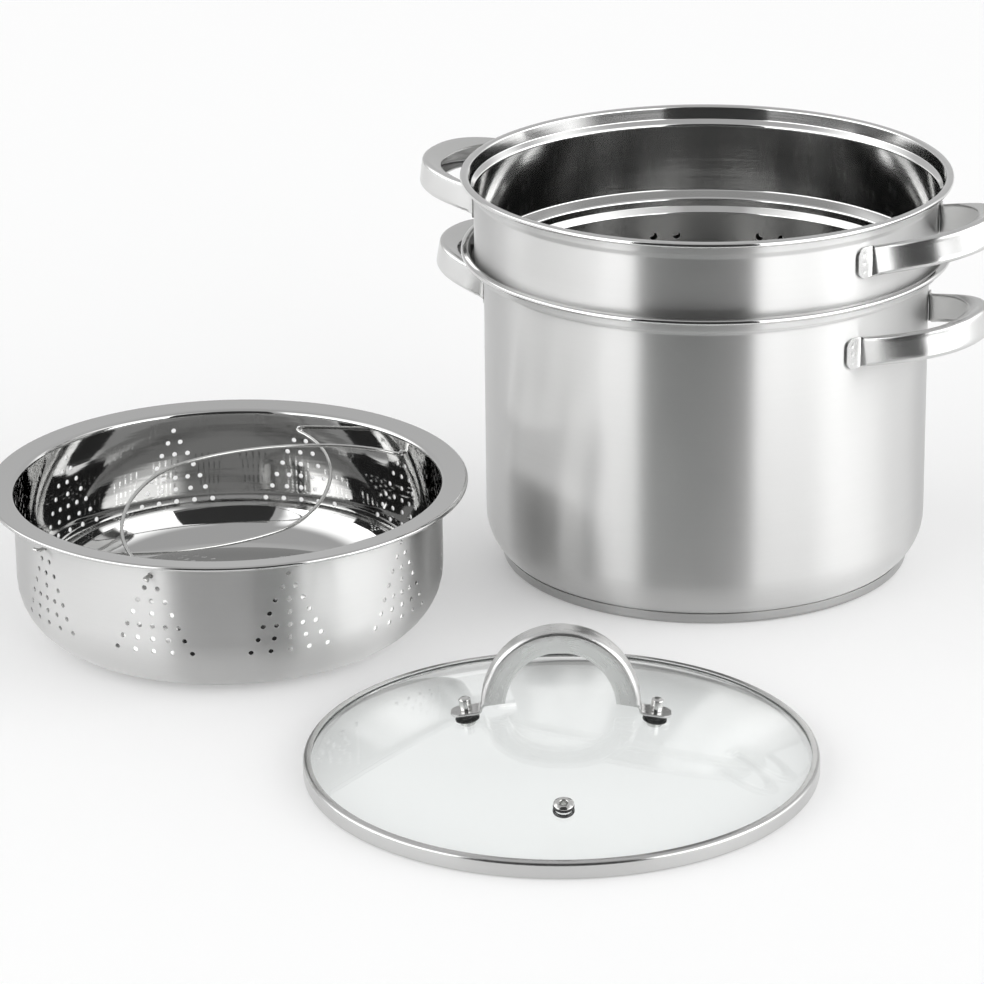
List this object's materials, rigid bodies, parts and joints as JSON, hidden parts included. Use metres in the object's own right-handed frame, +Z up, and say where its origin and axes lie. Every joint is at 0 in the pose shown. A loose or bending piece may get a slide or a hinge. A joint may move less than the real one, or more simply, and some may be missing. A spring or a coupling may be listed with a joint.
{
  "type": "pasta pot with strainer insert",
  "caption": "Tall stainless pot with a strainer insert hanging in its stepped rim, a shallow steamer basket with folding wire bails, and a domed glass lid with an arch handle.",
  "frame": {"origin": "centre of the pot's base, on the surface that the set stands on", "axes": "+Z up, -Y towards the lid, -X towards the steamer basket"},
  "size_m": [0.538, 0.5518, 0.2192],
  "materials": {
    "satin_steel": "satin brushed",
    "mirror_steel": "mirror polished",
    "handle_steel": "fine satin",
    "aluminium_core": "plain",
    "tempered_glass": "clear polished",
    "black_silicone": "matt"
  },
  "bodies": {
    "pot": {"pot_body": "satin_steel", "base_core": "aluminium_core", "base_cap": "satin_steel", "pot_handle_left": "handle_steel", "pot_handle_right": "handle_steel"},
    "insert": {"insert_body": "satin_steel", "insert_handle_left": "handle_steel", "insert_handle_right": "handle_steel"},
    "basket": {"basket_body": "mirror_steel"},
    "bail_upper": {"bail_upper": "mirror_steel"},
    "bail_lower": {"bail_lower": "mirror_steel"},
    "lid": {"lid_glass": "tempered_glass", "lid_band": "mirror_steel", "lid_handle": "handle_steel", "cap_nut_left": "mirror_steel", "cap_nut_right": "mirror_steel", "upper_gasket_left": "black_silicone", "upper_gasket_right": "black_silicone", "lower_gasket_left": "black_silicone", "lower_gasket_right": "black_silicone", "washer_left": "satin_steel", "washer_right": "satin_steel", "handle_screw_left": "satin_steel", "handle_screw_right": "satin_steel", "vent_grommet": "black_silicone", "vent_eyelet": "mirror_steel"}
  },
  "joints": [
    {"name": "insert_lift", "type": "slide", "parent": "pot", "child": "insert", "axis": [0, 0, 1], "range_m": [0, 0.2]},
    {"name": "basket_lift", "type": "slide", "parent": "pot", "child": "basket", "axis": [0, 0, 1], "range_m": [0, 0.1]},
    {"name": "lid_lift", "type": "slide", "parent": "pot", "child": "lid", "axis": [0, 0, 1], "range_m": [0, 0.1]},
    {"name": "lower_bail_hinge", "type": "hinge", "parent": "basket", "child": "bail_lower", "pos_m": [-0.28603, -0.07804, 0.0696], "axis": [-0.5771, -0.8166, 0], "range_deg": [0, 90]},
    {"name": "upper_bail_hinge", "type": "hinge", "parent": "basket", "child": "bail_upper", "pos_m": [-0.22897, -0.11836, 0.0696], "axis": [0.5771, 0.8166, 0], "range_deg": [0, 90]}
  ],
  "couplings": [
    {"joint": "upper_bail_hinge", "follows": "lower_bail_hinge", "ratio": 1}
  ]
}
